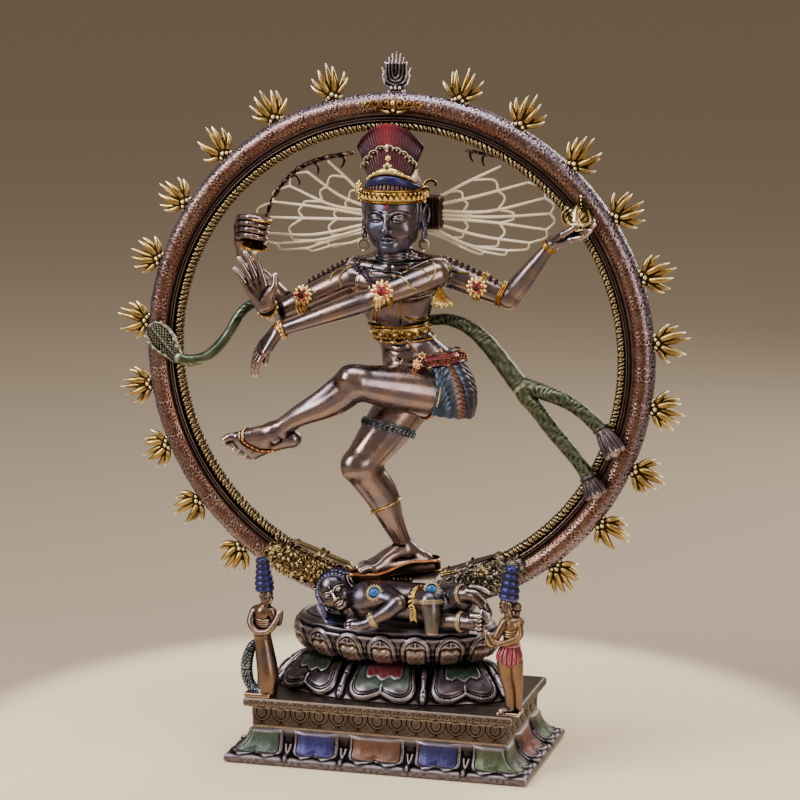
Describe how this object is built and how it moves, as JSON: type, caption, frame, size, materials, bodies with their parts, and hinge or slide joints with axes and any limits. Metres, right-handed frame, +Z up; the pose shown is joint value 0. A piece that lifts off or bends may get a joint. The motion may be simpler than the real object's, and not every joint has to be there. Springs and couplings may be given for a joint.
{
  "type": "nataraja statue",
  "caption": "Dancing four-armed figure in a full ring of flames, on an oval lotus seat and a stepped plinth with small attendants.",
  "frame": {"origin": "centre of the underside of the plinth", "axes": "+Z up, -Y the front that the figure faces, +X to the right seen from the front"},
  "size_m": [0.4114, 0.126, 0.5],
  "materials": {
    "bronze": "dark polished antique patina with brown and violet tones",
    "gold_trim": "worn antique gold over dark recesses",
    "flame_gold": "bright antique gold with dark recesses",
    "ring_patina": "red-brown patina, engraved, rubbed bright on high spots",
    "silver_patina": "grey-silver rubbed patina over dark recesses",
    "plinth_brown": "brown-bronze patina with rubbed edges",
    "blue_enamel": "satin blue paint",
    "red_enamel": "satin red paint",
    "green_patina": "satin green paint over metal, rubbed on ridges",
    "copper_paint": "satin copper paint",
    "hair_cream": "pale tinted metal strands",
    "steel": "plain steel fasteners"
  },
  "bodies": {
    "root": {"demon_body": "bronze", "figure_torso": "bronze", "figure_head": "bronze", "arm_rear_right": "bronze", "arm_front_right": "bronze", "arm_front_left": "bronze", "arm_rear_left": "bronze", "leg_raised": "bronze", "leg_standing": "bronze", "waist_belt": "gold_trim", "necklace": "gold_trim", "earrings": "gold_trim", "armlets": "gold_trim", "bracelets": "gold_trim", "crown_band": "gold_trim", "makara_left": "gold_trim", "palm_flame": "gold_trim", "drum": "gold_trim", "ring_inner_rim": "gold_trim", "ring_crest": "gold_trim", "flame_01": "flame_gold", "flame_02": "flame_gold", "flame_03": "flame_gold", "flame_04": "flame_gold", "flame_05": "flame_gold", "flame_06": "flame_gold", "flame_07": "flame_gold", "flame_08": "flame_gold", "flame_09": "flame_gold", "flame_10": "flame_gold", "flame_11": "flame_gold", "flame_12": "flame_gold", "flame_13": "flame_gold", "flame_14": "flame_gold", "flame_15": "flame_gold", "flame_16": "flame_gold", "flame_17": "flame_gold", "flame_18": "flame_gold", "flame_19": "flame_gold", "flame_20": "flame_gold", "flame_21": "flame_gold", "prabha_ring": "ring_patina", "plinth_foot": "silver_patina", "lotus_skirt": "silver_patina", "lotus_seat": "silver_patina", "makara_right": "silver_patina", "plinth_dado": "plinth_brown", "plinth_cap": "plinth_brown", "demon_head": "blue_enamel", "skirt": "blue_enamel", "attendant_left": "blue_enamel", "crown_fan": "red_enamel", "attendant_right": "red_enamel", "cobra_sash": "green_patina", "sash_right": "green_patina", "foot_sandal": "copper_paint", "hair_locks_left": "hair_cream", "hair_locks_right": "hair_cream", "tie_bolts": "steel", "foot_stud": "steel"}
  },
  "joints": []
}
